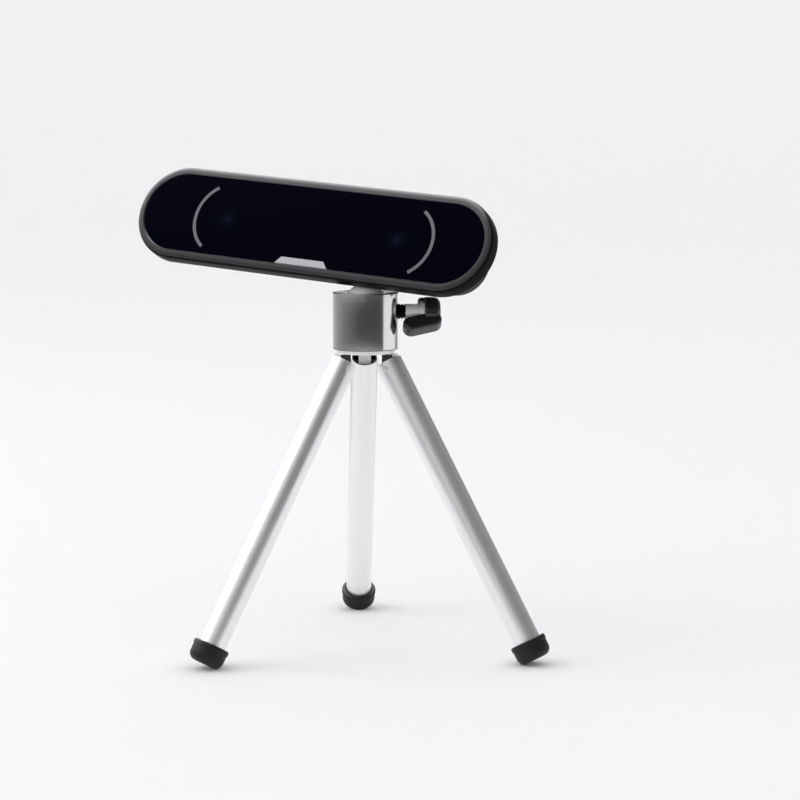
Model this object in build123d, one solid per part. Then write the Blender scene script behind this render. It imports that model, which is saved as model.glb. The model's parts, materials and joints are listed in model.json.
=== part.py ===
from build123d import *
import math
import os

# A webcam on a table tripod with a ball head. Millimetres and degrees.
# The origin is on the table, under the middle of the tripod. +Z is up and the webcam looks along -Y.

# Webcam housing
HOUSING_LENGTH = 106.0
HOUSING_HEIGHT = 26.3
HOUSING_DEPTH = 18.0
HOUSING_WALL = 1.5
RIM_DEPTH = 2.6
RIM_FLOOR = 1.2
RIM_ROUND = 1.0
BODY_STEP = 5.2
BODY_END_STEP = 7.5
BEZEL_DEPTH = 2.2
BEZEL_FACE = 2.3
BEZEL_ROUND = 1.6
LEDGE_WIDTH = 1.2
LIP_DEPTH = 1.2
LIP_WALL = 1.1
COVER_THICKNESS = 1.6
COVER_ROUND = 1.4

# Front window with its marks and light guide
WINDOW_RECESS = 0.25
WINDOW_THICKNESS = 1.1
GASKET_THICKNESS = 0.25
LENS_SPACING = 51.2
LENS_CENTRE = 1.0
LENS_RAISE = -0.5
MARK_RADIUS = 10.0
MARK_WIDTH = 0.9
MARK_DEPTH = 0.3
MARK_SWEEP_ANGLE = 114.0
TAB_CENTRE = 1.1
TAB_FOOT_WIDTH = 15.8
TAB_TOP_WIDTH = 12.6
TAB_HEIGHT = 1.9
GUIDE_WIDTH = 5.0
GUIDE_HEIGHT = 1.0

# Lens modules, bracket and board
LENS_DIAMETER = 5.2
LENS_THICKNESS = 1.2
LENS_DOME_RADIUS = 9.0
BARREL_DIAMETER = 7.2
BARREL_LENGTH = 2.6
BARREL_BORE = 4.2
LENS_TO_WINDOW = 0.35
HOLDER_SIZE = 9.0
HOLDER_DEPTH = 1.8
BRACKET_THICKNESS = 1.0
BRACKET_OVERHANG = 1.0
BOARD_THICKNESS = 1.0
POST_LENGTH = 3.8
POST_DIAMETER = 4.0
POST_TO_BOARD_END = 3.0
HOLDER_TO_SCREW = 0.6
POST_SINK = 0.3
FLEX_WIDTH = 4.0
FLEX_THICKNESS = 0.2
CHIP_TO_EDGE = 0.65
CHIP_THICKNESS = 1.0
PAD_THICKNESS = 0.8
LED_SIZE = 1.6
LED_HEIGHT = 1.0
LED_DEPTH = 0.9

# Socket on the back
SOCKET_PLACE = -20.0
SOCKET_WIDTH = 8.94
SOCKET_HEIGHT = 3.2
SOCKET_WALL = 0.3
SOCKET_CAVITY = 5.5
TONGUE_PLATE_WIDTH = 6.7
TONGUE_PLATE_THICKNESS = 0.7
TONGUE_PLATE_LENGTH = 4.4

# Small screws
SCREW_SHANK = 1.5
SCREW_HEAD = 2.6
SCREW_HEAD_HEIGHT = 0.8
SCREW_GRIP = 1.6
COVER_SCREW_GRIP = 4.5
COVER_POST_DIAMETER = 4.2
HEX_SOCKET = 1.3
HEX_DEPTH = 0.45

# Tripod thread in the housing and the stud that fills it
THREAD_OFFSET = 17.4
THREAD_DEPTH = 1.1
INSERT_DIAMETER = 8.0
INSERT_HEIGHT = 5.0
INSERT_BOSS_WALL = 1.0
STUD_DIAMETER = 6.35
STUD_LENGTH = 3.8
STUD_TIP_ROOM = 0.5
STUD_FLANGE_DIAMETER = 8.6
STUD_FLANGE_THICKNESS = 0.8
NECK_DIAMETER = 4.2

# Ball head
HUB_DIAMETER = 17.0
HUB_HEIGHT = 14.7
HUB_EDGE = 0.25
BALL_DIAMETER = 11.0
BALL_HEIGHT = 11.5
BALL_TO_HOUSING = 7.65
MOUTH_DIAMETER = 9.6
SEAT_DROP = 2.6
SEAT_HOLE = 4.0
LEAN_ANGLE = 26.0
LEAN_HEADING_ANGLE = 48.6
FACING_ANGLE = -31.0

# Clamp screw with its wing knob
CLAMP_HEIGHT = 9.6
CLAMP_DIAMETER = 4.0
CLAMP_REACH = 5.8
COLLAR_DIAMETER = 5.2
COLLAR_THICKNESS = 1.0
TANG_DIAMETER = 3.0
TANG_LENGTH = 2.8
SHOE_LENGTH = 1.2
SHOE_GAP = 0.25
KNOB_DIAMETER = 7.4
KNOB_LENGTH = 4.0
KNOB_ROUND = 1.8
WING_REACH = 4.8
WING_ROOT = 3.3
WING_SWEEP = 3.7
WING_WIDTH = 4.4
HEEL_REACH = 2.3
HEEL_ROOT = 2.0
HEEL_SWEEP = 0.8
HEEL_WIDTH = 2.2
WING_THICKNESS = 4.0
WING_ROUND = 0.9
WING_TURN_ANGLE = 50.0

# Leg base and legs
BASE_DIAMETER = 15.0
BASE_THICKNESS = 1.0
SPIGOT_HEIGHT = 1.8
PIVOT_RADIUS = 7.4
PIVOT_DROP = 3.5
TONGUE_THICKNESS = 3.2
TONGUE_RADIUS = 1.9
TONGUE_OUTER = 1.2
PIN_DIAMETER = 1.6
LEG_SPREAD_ANGLE = 29.6
LEG_LENGTH = 83.3
LEG_DIAMETER = 7.0
LEG_WALL = 0.5
MOUTH_RISE = 1.7
FOOT_DIAMETER = 9.4
FOOT_LENGTH = 5.2
FOOT_FLOOR = 2.3
FOOT_EDGE = 2.0
FOOT_RIM = 0.5
FOOT_FLAT = 0.15
REAR_LEG_ANGLE = 90.0
RIGHT_LEG_ANGLE = -30.0
LEFT_LEG_ANGLE = 210.0

# Clearances
FIT = 0.05
BALL_FIT = 0.10
RUNNING_FIT = 0.05
PLATE_ROOM = 0.30
SOCKET_ROOM = 0.10

# The largest share of a piece's thickness that a rounding takes, on one edge and on both
ONE_EDGE_SHARE = 0.9
BOTH_EDGES_SHARE = 0.4

# Places along the webcam's depth, front to back, in the webcam's own frame
FRONT = -HOUSING_DEPTH / 2
BACK = HOUSING_DEPTH / 2
WINDOW_FRONT = FRONT + WINDOW_RECESS
WINDOW_BACK = WINDOW_FRONT + WINDOW_THICKNESS
LEDGE_FRONT = WINDOW_BACK + GASKET_THICKNESS
SHELL_FRONT = FRONT + BEZEL_DEPTH
RIM_BACK = SHELL_FRONT + RIM_DEPTH
RIM_FLOOR_FRONT = RIM_BACK - RIM_FLOOR
LED_FRONT = RIM_FLOOR_FRONT - LED_DEPTH
COVER_FRONT = BACK - COVER_THICKNESS
BARREL_FRONT = WINDOW_BACK + LENS_TO_WINDOW
HOLDER_FRONT = BARREL_FRONT + BARREL_LENGTH
BRACKET_FRONT = HOLDER_FRONT + HOLDER_DEPTH
BRACKET_BACK = BRACKET_FRONT + BRACKET_THICKNESS
BOARD_FRONT = BRACKET_BACK + POST_LENGTH
BOARD_BACK = BOARD_FRONT + BOARD_THICKNESS
CHIP_BACK = BOARD_BACK + CHIP_THICKNESS
PAD_BACK = CHIP_BACK + PAD_THICKNESS

# Places across the webcam's face
BODY_LENGTH = HOUSING_LENGTH - 2 * BODY_END_STEP
BODY_HEIGHT = HOUSING_HEIGHT - 2 * BODY_STEP
BODY_INSIDE = BODY_HEIGHT / 2 - HOUSING_WALL
END_CENTRE = (BODY_LENGTH - BODY_HEIGHT) / 2
BODY_BOTTOM = -BODY_HEIGHT / 2
PLATE_HALF_HEIGHT = BODY_INSIDE - PLATE_ROOM
CHIP_SIZE = 2 * (PLATE_HALF_HEIGHT - CHIP_TO_EDGE)
WINDOW_INSET = BEZEL_FACE + FIT
WINDOW_FOOT = BEZEL_FACE - HOUSING_HEIGHT / 2
LEDGE_INSET = BEZEL_FACE + LEDGE_WIDTH
LIP_INSET = HOUSING_WALL + FIT
GUIDE_TOP = WINDOW_FOOT + TAB_HEIGHT
GUIDE_MIDDLE = GUIDE_TOP - GUIDE_HEIGHT / 2
POST_SPACING = LENS_SPACING + 2 * abs(LENS_CENTRE) + HOLDER_SIZE + 2 * HOLDER_TO_SCREW + SCREW_HEAD
BOARD_LENGTH = POST_SPACING + 2 * POST_TO_BOARD_END
BRACKET_LENGTH = BOARD_LENGTH + 2 * BRACKET_OVERHANG
POST_RISE = BODY_INSIDE + POST_SINK - POST_DIAMETER / 2
COVER_POST_REACH = BODY_INSIDE + POST_SINK - COVER_POST_DIAMETER / 2
LENS_PLACES = {"left": LENS_CENTRE - LENS_SPACING / 2, "right": LENS_CENTRE + LENS_SPACING / 2}
INSERT_BOSS_RADIUS = INSERT_DIAMETER / 2 + INSERT_BOSS_WALL
THREAD_PLACE = Pos(THREAD_OFFSET, THREAD_DEPTH, BODY_BOTTOM)

# Heights of the tripod: the lowest point of a spread foot is cut off level with the table
SPREAD_SIN = math.sin(math.radians(LEG_SPREAD_ANGLE))
SPREAD_COS = math.cos(math.radians(LEG_SPREAD_ANGLE))
FOOT_ROUND = min(FOOT_EDGE, ONE_EDGE_SHARE * FOOT_FLOOR)
FOOT_ROUND_PLACE = FOOT_DIAMETER / 2 - FOOT_ROUND
PIVOT_Z = (FOOT_ROUND_PLACE * SPREAD_SIN + (LEG_LENGTH - FOOT_ROUND) * SPREAD_COS
           + FOOT_ROUND - FOOT_FLAT)
BASE_UNDERSIDE = PIVOT_Z + PIVOT_DROP
HUB_BOTTOM = BASE_UNDERSIDE + BASE_THICKNESS
HUB_TOP = HUB_BOTTOM + HUB_HEIGHT
BALL_Z = HUB_BOTTOM + BALL_HEIGHT
BALL_SOCKET = BALL_DIAMETER / 2 + BALL_FIT
CLAMP_Z = HUB_BOTTOM + CLAMP_HEIGHT
SHOE_TIP = BALL_DIAMETER / 2 + SHOE_GAP
SHOE_BACK = SHOE_TIP + SHOE_LENGTH
COLLAR_START = HUB_DIAMETER / 2 + CLAMP_REACH
KNOB_START = COLLAR_START + COLLAR_THICKNESS

# Frames: the stud leans towards its heading, and the webcam sits on the stud, off its middle
BALL_FRAME = Pos(0, 0, BALL_Z) * Rot(0, 0, LEAN_HEADING_ANGLE) * Rot(0, LEAN_ANGLE, 0)
CAMERA_FRAME = (BALL_FRAME * Rot(0, 0, FACING_ANGLE - LEAN_HEADING_ANGLE)
                * Pos(-THREAD_OFFSET, -THREAD_DEPTH, BALL_TO_HOUSING + BODY_HEIGHT / 2))
LEG_HEADINGS = {"rear": REAR_LEG_ANGLE, "right": RIGHT_LEG_ANGLE, "left": LEFT_LEG_ANGLE}


def face_prism(sketch, front, back):
    """A sketch drawn on the webcam's face, from one depth to another."""
    return extrude(Plane.XZ.offset(-back) * sketch, amount=back - front)


def obround(inset, front, back):
    """The front's outline, moved in by inset, from one depth to another."""
    return face_prism(SlotOverall(HOUSING_LENGTH - 2 * inset, HOUSING_HEIGHT - 2 * inset), front, back)


def body_obround(inset, front, back):
    """The smaller outline of the body behind the rim, moved in by inset."""
    return face_prism(SlotOverall(BODY_LENGTH - 2 * inset, BODY_HEIGHT - 2 * inset), front, back)


def face_rod(radius, x, z, front, back):
    return face_prism(Pos(x, z) * Circle(radius), front, back)


def upright_disc(radius, bottom, top):
    return extrude(Pos(0, 0, bottom) * Circle(radius), amount=top - bottom)


def clamp_rod(radius, start, end):
    """A rod on the clamp screw's axis, which runs out of the hub along +X."""
    return extrude(Plane.YZ.offset(start) * Pos(0, CLAMP_Z) * Circle(radius), amount=end - start)


def corners(x, z):
    return [(sx * x, sz * z) for sx in (-1, 1) for sz in (-1, 1)]


def cover_post_places():
    """Middles of the four long posts, on the slant in the rounded ends."""
    slant = COVER_POST_REACH * math.sqrt(0.5)
    return corners(END_CENTRE + slant, slant)


def tab_outline(room, low):
    """The light guide's trapezoid from a height of low, grown by room at its sides and top."""
    slope = (TAB_FOOT_WIDTH - TAB_TOP_WIDTH) / 2 / TAB_HEIGHT
    foot = TAB_FOOT_WIDTH / 2 - slope * low + 2 * room
    top = TAB_TOP_WIDTH / 2 - slope * room + 2 * room
    high = TAB_HEIGHT + room
    points = [(-foot, low), (foot, low), (top, high), (-top, high)]
    return Pos(TAB_CENTRE, WINDOW_FOOT) * make_face(Polyline(*points, close=True))


def guide_slot(room):
    """Section of the light guide's stem."""
    return Pos(TAB_CENTRE, GUIDE_MIDDLE) * Rectangle(GUIDE_WIDTH + 2 * room, GUIDE_HEIGHT + 2 * room)


def mark_outline(room):
    """The two arcs round the lenses, wider than drawn by room on each side."""
    sketch = Sketch()
    middles = {"left": 180, "right": 0}
    outer = MARK_RADIUS + MARK_WIDTH / 2 + room
    inner = MARK_RADIUS - MARK_WIDTH / 2 - room
    grown = math.degrees(room / MARK_RADIUS)
    total = MARK_SWEEP_ANGLE + 2 * grown
    for side, middle in middles.items():
        first = middle - total / 2
        wide = CenterArc((0, 0), outer, first, total)
        tight = CenterArc((0, 0), inner, first, total)
        ends = [Line(wide @ 0, tight @ 0), Line(wide @ 1, tight @ 1)]
        sketch += Pos(LENS_PLACES[side], LENS_RAISE) * make_face([wide, tight] + ends)
    return sketch


def screw(x, z, seat, grip, towards_back):
    """A small screw whose head sits on the plane y = seat."""
    direction = 1 if towards_back else -1
    shank = sorted((seat, seat + direction * grip))
    head = sorted((seat, seat - direction * SCREW_HEAD_HEIGHT))
    socket = sorted((seat - direction * SCREW_HEAD_HEIGHT,
                     seat - direction * (SCREW_HEAD_HEIGHT - HEX_DEPTH)))
    body = face_rod(SCREW_SHANK / 2, x, z, *shank) + face_rod(SCREW_HEAD / 2, x, z, *head)
    return body - face_prism(Pos(x, z) * RegularPolygon(HEX_SOCKET / 2, 6), *socket)


def front_bezel():
    ring = obround(0, FRONT, SHELL_FRONT)
    round_over = min(BEZEL_ROUND, ONE_EDGE_SHARE * BEZEL_FACE, ONE_EDGE_SHARE * BEZEL_DEPTH)
    ring = fillet(ring.faces().sort_by(Axis.Y)[0].edges(), round_over)
    ring -= obround(BEZEL_FACE, FRONT, LEDGE_FRONT)
    ring -= obround(LEDGE_INSET, LEDGE_FRONT, SHELL_FRONT)
    lip_back = SHELL_FRONT + LIP_DEPTH
    lip = obround(LIP_INSET, SHELL_FRONT, lip_back)
    ring += lip - obround(LIP_INSET + LIP_WALL, SHELL_FRONT, lip_back)
    return ring - face_prism(guide_slot(FIT), LEDGE_FRONT, lip_back)


def front_window():
    pane = obround(WINDOW_INSET, WINDOW_FRONT, WINDOW_BACK)
    pane -= face_prism(tab_outline(FIT, -FIT), WINDOW_FRONT, WINDOW_BACK)
    return pane - face_prism(mark_outline(FIT), WINDOW_FRONT, WINDOW_FRONT + MARK_DEPTH)


def window_gasket():
    ring = obround(WINDOW_INSET, WINDOW_BACK, LEDGE_FRONT)
    ring -= obround(LEDGE_INSET, WINDOW_BACK, LEDGE_FRONT)
    return ring - face_prism(guide_slot(FIT), WINDOW_BACK, LEDGE_FRONT)


def lens_arc_marks():
    return face_prism(mark_outline(0), WINDOW_FRONT, WINDOW_FRONT + MARK_DEPTH)


def status_light_tab():
    tab = face_prism(tab_outline(0, FIT), WINDOW_FRONT, WINDOW_BACK)
    return tab + face_prism(guide_slot(0), WINDOW_BACK, LED_FRONT)


def lens_barrel(x):
    barrel = face_rod(BARREL_DIAMETER / 2, x, LENS_RAISE, BARREL_FRONT, HOLDER_FRONT)
    barrel -= face_rod(LENS_DIAMETER / 2, x, LENS_RAISE, BARREL_FRONT, BARREL_FRONT + LENS_THICKNESS)
    return barrel - face_rod(BARREL_BORE / 2, x, LENS_RAISE, BARREL_FRONT, HOLDER_FRONT)


def lens_glass(x):
    disc = face_rod(LENS_DIAMETER / 2 - FIT, x, LENS_RAISE, BARREL_FRONT, BARREL_FRONT + LENS_THICKNESS)
    return disc & (Pos(x, BARREL_FRONT + LENS_DOME_RADIUS, LENS_RAISE) * Sphere(LENS_DOME_RADIUS))


def sensor_holder(x):
    holder = Pos(x, LENS_RAISE) * Rectangle(HOLDER_SIZE, HOLDER_SIZE)
    return face_prism(holder, HOLDER_FRONT, BRACKET_FRONT)


def inner_plate(length, front, back):
    """A plate across the housing, cut out round the thread's boss and long posts, drilled at the short ones."""
    plate = face_prism(Rectangle(length, 2 * PLATE_HALF_HEIGHT), front, back)
    plate &= body_obround(HOUSING_WALL + PLATE_ROOM, front, back)
    boss_top = BODY_BOTTOM + INSERT_HEIGHT + PLATE_ROOM
    boss_room = 2 * (INSERT_BOSS_RADIUS + PLATE_ROOM)
    notch_height = boss_top + BODY_HEIGHT / 2
    notch = Pos(THREAD_OFFSET, boss_top - notch_height / 2) * Rectangle(boss_room, notch_height)
    plate -= face_prism(notch, front, back)
    for x, z in cover_post_places():
        plate -= face_rod(COVER_POST_DIAMETER / 2 + PLATE_ROOM, x, z, front, back)
    for x, z in corners(POST_SPACING / 2, POST_RISE):
        plate -= face_rod(SCREW_SHANK / 2 + FIT, x, z, front, back)
    return plate


def module_bracket():
    plate = inner_plate(BRACKET_LENGTH, BRACKET_FRONT, BRACKET_BACK)
    for x in LENS_PLACES.values():
        slot = Rectangle(FLEX_WIDTH + 2 * PLATE_ROOM, FLEX_THICKNESS + 2 * PLATE_ROOM)
        plate -= face_prism(Pos(x, LENS_RAISE) * slot, BRACKET_FRONT, BRACKET_BACK)
    return plate


def main_board():
    return inner_plate(BOARD_LENGTH, BOARD_FRONT, BOARD_BACK)


def flex_cable(x):
    ribbon = Pos(x, LENS_RAISE) * Rectangle(FLEX_WIDTH, FLEX_THICKNESS)
    return face_prism(ribbon, BRACKET_FRONT, BOARD_FRONT)


def status_led():
    lamp = Pos(TAB_CENTRE, GUIDE_MIDDLE) * Rectangle(LED_SIZE, LED_HEIGHT)
    return face_prism(lamp, LED_FRONT, RIM_FLOOR_FRONT)


def usb_socket():
    outline = Pos(SOCKET_PLACE, 0) * SlotOverall(SOCKET_WIDTH, SOCKET_HEIGHT)
    hollow = SlotOverall(SOCKET_WIDTH - 2 * SOCKET_WALL, SOCKET_HEIGHT - 2 * SOCKET_WALL)
    cavity_front = BACK - SOCKET_CAVITY
    tongue = Pos(SOCKET_PLACE, 0) * Rectangle(TONGUE_PLATE_WIDTH, TONGUE_PLATE_THICKNESS)
    shell = face_prism(outline, BOARD_BACK, BACK)
    shell -= face_prism(Pos(SOCKET_PLACE, 0) * hollow, cavity_front, BACK)
    return shell + face_prism(tongue, cavity_front, cavity_front + TONGUE_PLATE_LENGTH)


def housing_shell():
    """A shallow front rim with a smaller body behind it, moulded in one."""
    rim = obround(0, SHELL_FRONT, RIM_BACK)
    rim = fillet(rim.faces().sort_by(Axis.Y)[-1].edges(), min(RIM_ROUND, ONE_EDGE_SHARE * RIM_DEPTH))
    body = body_obround(0, RIM_FLOOR_FRONT, COVER_FRONT)
    posts = []
    for x, z in corners(POST_SPACING / 2, POST_RISE):
        posts.append(face_rod(POST_DIAMETER / 2, x, z, BRACKET_BACK, BOARD_FRONT))
    for x, z in cover_post_places():
        posts.append(face_rod(COVER_POST_DIAMETER / 2, x, z, RIM_FLOOR_FRONT, COVER_FRONT))
    boss = THREAD_PLACE * upright_disc(INSERT_BOSS_RADIUS, 0, INSERT_HEIGHT)
    shell = rim - obround(HOUSING_WALL, SHELL_FRONT, RIM_FLOOR_FRONT) + body
    shell -= body_obround(HOUSING_WALL, RIM_FLOOR_FRONT, COVER_FRONT)
    shell += [body & piece for piece in posts + [boss]]
    shell -= THREAD_PLACE * upright_disc(INSERT_DIAMETER / 2, 0, INSERT_HEIGHT)
    for x, z in corners(POST_SPACING / 2, POST_RISE):
        shell -= face_rod(SCREW_SHANK / 2 + FIT / 2, x, z, BRACKET_BACK, BOARD_FRONT)
    for x, z in cover_post_places():
        shell -= face_rod(SCREW_SHANK / 2 + FIT / 2, x, z, COVER_FRONT - COVER_SCREW_GRIP, COVER_FRONT)
    return shell


def rear_cover():
    plate = body_obround(0, COVER_FRONT, BACK)
    round_over = min(COVER_ROUND, ONE_EDGE_SHARE * COVER_THICKNESS)
    plate = fillet(plate.faces().sort_by(Axis.Y)[-1].edges(), round_over)
    lip_front = COVER_FRONT - LIP_DEPTH
    lip = body_obround(LIP_INSET, lip_front, COVER_FRONT)
    lip -= body_obround(LIP_INSET + LIP_WALL, lip_front, COVER_FRONT)
    pedestal = face_prism(Rectangle(CHIP_SIZE, CHIP_SIZE), PAD_BACK, COVER_FRONT)
    for x, z in cover_post_places():
        lip -= face_rod(COVER_POST_DIAMETER / 2 + PLATE_ROOM, x, z, lip_front, COVER_FRONT)
    cover = plate + [lip, pedestal]
    seat = BACK - SCREW_HEAD_HEIGHT
    for x, z in cover_post_places():
        cover -= face_rod(SCREW_SHANK / 2 + FIT, x, z, COVER_FRONT, BACK)
        cover -= face_rod(SCREW_HEAD / 2 + FIT, x, z, seat, BACK)
    opening = SlotOverall(SOCKET_WIDTH + 2 * SOCKET_ROOM, SOCKET_HEIGHT + 2 * SOCKET_ROOM)
    return cover - face_prism(Pos(SOCKET_PLACE, 0) * opening, COVER_FRONT, BACK)


def tripod_thread_insert():
    sleeve = upright_disc(INSERT_DIAMETER / 2 - FIT / 2, 0, INSERT_HEIGHT)
    sleeve -= upright_disc(STUD_DIAMETER / 2 + RUNNING_FIT, 0, STUD_LENGTH + STUD_TIP_ROOM)
    return THREAD_PLACE * sleeve


def camera_pieces():
    posts = corners(POST_SPACING / 2, POST_RISE)
    pieces = {
        "housing_shell": housing_shell(),
        "front_bezel": front_bezel(),
        "front_window": front_window(),
        "window_gasket": window_gasket(),
        "lens_arc_marks": lens_arc_marks(),
        "status_light_tab": status_light_tab(),
        "module_bracket": module_bracket(),
        "bracket_screws": [screw(x, z, BRACKET_FRONT, BRACKET_THICKNESS + SCREW_GRIP, True)
                           for x, z in posts],
        "main_board": main_board(),
        "board_screws": [screw(x, z, BOARD_BACK, BOARD_THICKNESS + SCREW_GRIP, False)
                         for x, z in posts],
        "processor_chip": face_prism(Rectangle(CHIP_SIZE, CHIP_SIZE), BOARD_BACK, CHIP_BACK),
        "thermal_pad": face_prism(Rectangle(CHIP_SIZE, CHIP_SIZE), CHIP_BACK, PAD_BACK),
        "status_led": status_led(),
        "usb_socket": usb_socket(),
        "rear_cover": rear_cover(),
        "rear_cover_screws": [screw(x, z, BACK - SCREW_HEAD_HEIGHT, COVER_SCREW_GRIP, False)
                              for x, z in cover_post_places()],
        "tripod_thread_insert": tripod_thread_insert(),
    }
    for side, x in LENS_PLACES.items():
        pieces["lens_barrel_" + side] = lens_barrel(x)
        pieces["lens_glass_" + side] = lens_glass(x)
        pieces["sensor_holder_" + side] = sensor_holder(x)
        pieces["flex_cable_" + side] = flex_cable(x)
    return pieces


def ball_stud():
    """Ball, neck, flange and thread in one turned piece, upright about the ball's middle."""
    flange_bottom = BALL_TO_HOUSING - FIT - STUD_FLANGE_THICKNESS
    stud = Sphere(BALL_DIAMETER / 2)
    stud += upright_disc(NECK_DIAMETER / 2, 0, flange_bottom)
    stud += upright_disc(STUD_FLANGE_DIAMETER / 2, flange_bottom, BALL_TO_HOUSING - FIT)
    return stud + upright_disc(STUD_DIAMETER / 2, flange_bottom, BALL_TO_HOUSING + STUD_LENGTH)


def hub():
    body = upright_disc(HUB_DIAMETER / 2, HUB_BOTTOM, HUB_TOP)
    ends = body.edges().filter_by(GeomType.CIRCLE)
    body = chamfer(ends, HUB_EDGE)
    body -= upright_disc(BALL_SOCKET, HUB_BOTTOM, BALL_Z)
    body -= Pos(0, 0, BALL_Z) * Sphere(BALL_SOCKET)
    body -= upright_disc(MOUTH_DIAMETER / 2, BALL_Z, HUB_TOP)
    return body - clamp_rod(CLAMP_DIAMETER / 2 + RUNNING_FIT, 0, HUB_DIAMETER / 2)


def ball_seat():
    bottom = HUB_BOTTOM + SPIGOT_HEIGHT + RUNNING_FIT
    cup = upright_disc(BALL_SOCKET - RUNNING_FIT, bottom, BALL_Z - SEAT_DROP)
    cup -= Pos(0, 0, BALL_Z) * Sphere(BALL_SOCKET)
    return cup - upright_disc(SEAT_HOLE / 2, bottom, BALL_Z)


def brake_shoe():
    return clamp_rod(CLAMP_DIAMETER / 2, SHOE_TIP, SHOE_BACK)


def clamp_screw():
    turned = clamp_rod(CLAMP_DIAMETER / 2, SHOE_BACK + FIT, COLLAR_START)
    turned += clamp_rod(COLLAR_DIAMETER / 2, COLLAR_START, KNOB_START)
    return turned + clamp_rod(TANG_DIAMETER / 2, KNOB_START, KNOB_START + TANG_LENGTH)


def wing_knob():
    """A domed grip with a long wing swept back towards the hub and a short heel opposite it."""
    grip = extrude(Plane.YZ.offset(KNOB_START) * Circle(KNOB_DIAMETER / 2), amount=KNOB_LENGTH)
    round_over = min(KNOB_ROUND, ONE_EDGE_SHARE * KNOB_LENGTH)
    grip = fillet(grip.faces().sort_by(Axis.X)[-1].edges(), round_over)
    wings = {
        -1: (WING_REACH, WING_ROOT, WING_SWEEP, WING_WIDTH),
        1: (HEEL_REACH, HEEL_ROOT, HEEL_SWEEP, HEEL_WIDTH),
    }
    root_x = KNOB_START + KNOB_LENGTH / 2
    for side, (reach, root, sweep, width) in wings.items():
        tip_x = KNOB_START - sweep
        run = math.hypot(root_x - tip_x, reach - root)
        slope = math.degrees(math.atan2(reach - root, tip_x - root_x))
        middle = Pos((root_x + tip_x) / 2, side * (reach + root) / 2)
        outline = middle * Rot(0, 0, side * slope) * SlotCenterToCenter(run, width)
        wing = extrude(outline, amount=WING_THICKNESS / 2, both=True)
        rims = wing.faces().sort_by(Axis.Z)[0].edges() + wing.faces().sort_by(Axis.Z)[-1].edges()
        grip += fillet(rims, min(WING_ROUND, BOTH_EDGES_SHARE * width, BOTH_EDGES_SHARE * WING_THICKNESS))
    knob = Pos(0, 0, CLAMP_Z) * Rot(WING_TURN_ANGLE, 0, 0) * grip
    knob -= clamp_rod(COLLAR_DIAMETER / 2 + FIT, HUB_DIAMETER / 2, KNOB_START)
    return knob - clamp_rod(TANG_DIAMETER / 2 + FIT, KNOB_START, KNOB_START + TANG_LENGTH)


def leg_base():
    base = upright_disc(BASE_DIAMETER / 2, BASE_UNDERSIDE, HUB_BOTTOM)
    base += upright_disc(BALL_SOCKET - FIT, HUB_BOTTOM, HUB_BOTTOM + SPIGOT_HEIGHT)
    width = TONGUE_RADIUS + TONGUE_OUTER
    side_view = Circle(TONGUE_RADIUS)
    side_view += Pos((TONGUE_OUTER - TONGUE_RADIUS) / 2, PIVOT_DROP / 2) * Rectangle(width, PIVOT_DROP)
    side_view -= Circle(PIN_DIAMETER / 2 + RUNNING_FIT)
    tongue = extrude(Plane.XZ * side_view, amount=TONGUE_THICKNESS / 2, both=True)
    for heading in LEG_HEADINGS.values():
        base += Rot(0, 0, heading) * Pos(PIVOT_RADIUS, 0, PIVOT_Z) * tongue
    return base


def leg_tube():
    """One leg's tube about its pin: the mouth is up, and the foot end is down."""
    tube = upright_disc(LEG_DIAMETER / 2, FOOT_FLOOR - LEG_LENGTH, MOUTH_RISE)
    tube -= upright_disc(LEG_DIAMETER / 2 - LEG_WALL, FOOT_FLOOR - LEG_LENGTH, MOUTH_RISE)
    return tube - pin_rod(PIN_DIAMETER / 2 + FIT / 2, LEG_DIAMETER / 2)


def pin_rod(radius, half_length):
    return extrude(Plane.XZ * Circle(radius), amount=half_length, both=True)


def pivot_pin():
    """A plain pin, ground off level with the tube at both ends."""
    return pin_rod(PIN_DIAMETER / 2, LEG_DIAMETER / 2)


def foot_cap():
    bottom = -LEG_LENGTH
    cap = upright_disc(FOOT_DIAMETER / 2, bottom, bottom + FOOT_LENGTH)
    cap = fillet(cap.faces().sort_by(Axis.Z)[0].edges(), FOOT_ROUND)
    rim_round = min(FOOT_RIM, BOTH_EDGES_SHARE * (FOOT_DIAMETER - LEG_DIAMETER) / 2)
    cap = fillet(cap.faces().sort_by(Axis.Z)[-1].edges(), rim_round)
    return cap - upright_disc(LEG_DIAMETER / 2 + FIT, bottom + FOOT_FLOOR, bottom + FOOT_LENGTH)


def leg_pieces():
    leg_frame = Pos(PIVOT_RADIUS, 0, PIVOT_Z) * Rot(0, -LEG_SPREAD_ANGLE, 0)
    below_table = Pos(0, 0, -FOOT_LENGTH) * Box(4 * LEG_LENGTH, 4 * LEG_LENGTH, 2 * FOOT_LENGTH)
    pieces = {}
    for name, heading in LEG_HEADINGS.items():
        place = Rot(0, 0, heading) * leg_frame
        pieces["leg_tube_" + name] = place * leg_tube()
        pieces["pivot_pin_" + name] = place * pivot_pin()
        pieces["foot_cap_" + name] = place * foot_cap() - below_table
    return pieces


def head_pieces():
    return {
        "ball_stud": BALL_FRAME * ball_stud(),
        "hub": hub(),
        "ball_seat": ball_seat(),
        "brake_shoe": brake_shoe(),
        "clamp_screw": clamp_screw(),
        "wing_knob": wing_knob(),
        "leg_base": leg_base(),
    }


os.makedirs("parts", exist_ok=True)
nodes = head_pieces() | leg_pieces()
for name, piece in camera_pieces().items():
    solids = piece if isinstance(piece, list) else piece.solids()
    placed = [CAMERA_FRAME * solid for solid in solids]
    nodes[name] = placed[0] if len(placed) == 1 else Compound(children=placed)
for name, shape in nodes.items():
    export_step(shape, "parts/" + name + ".step")
print("pivot height", round(PIVOT_Z, 4))
print("hub bottom", round(HUB_BOTTOM, 4))
print("ball height", round(BALL_Z, 4))
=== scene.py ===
import json
import math

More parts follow.
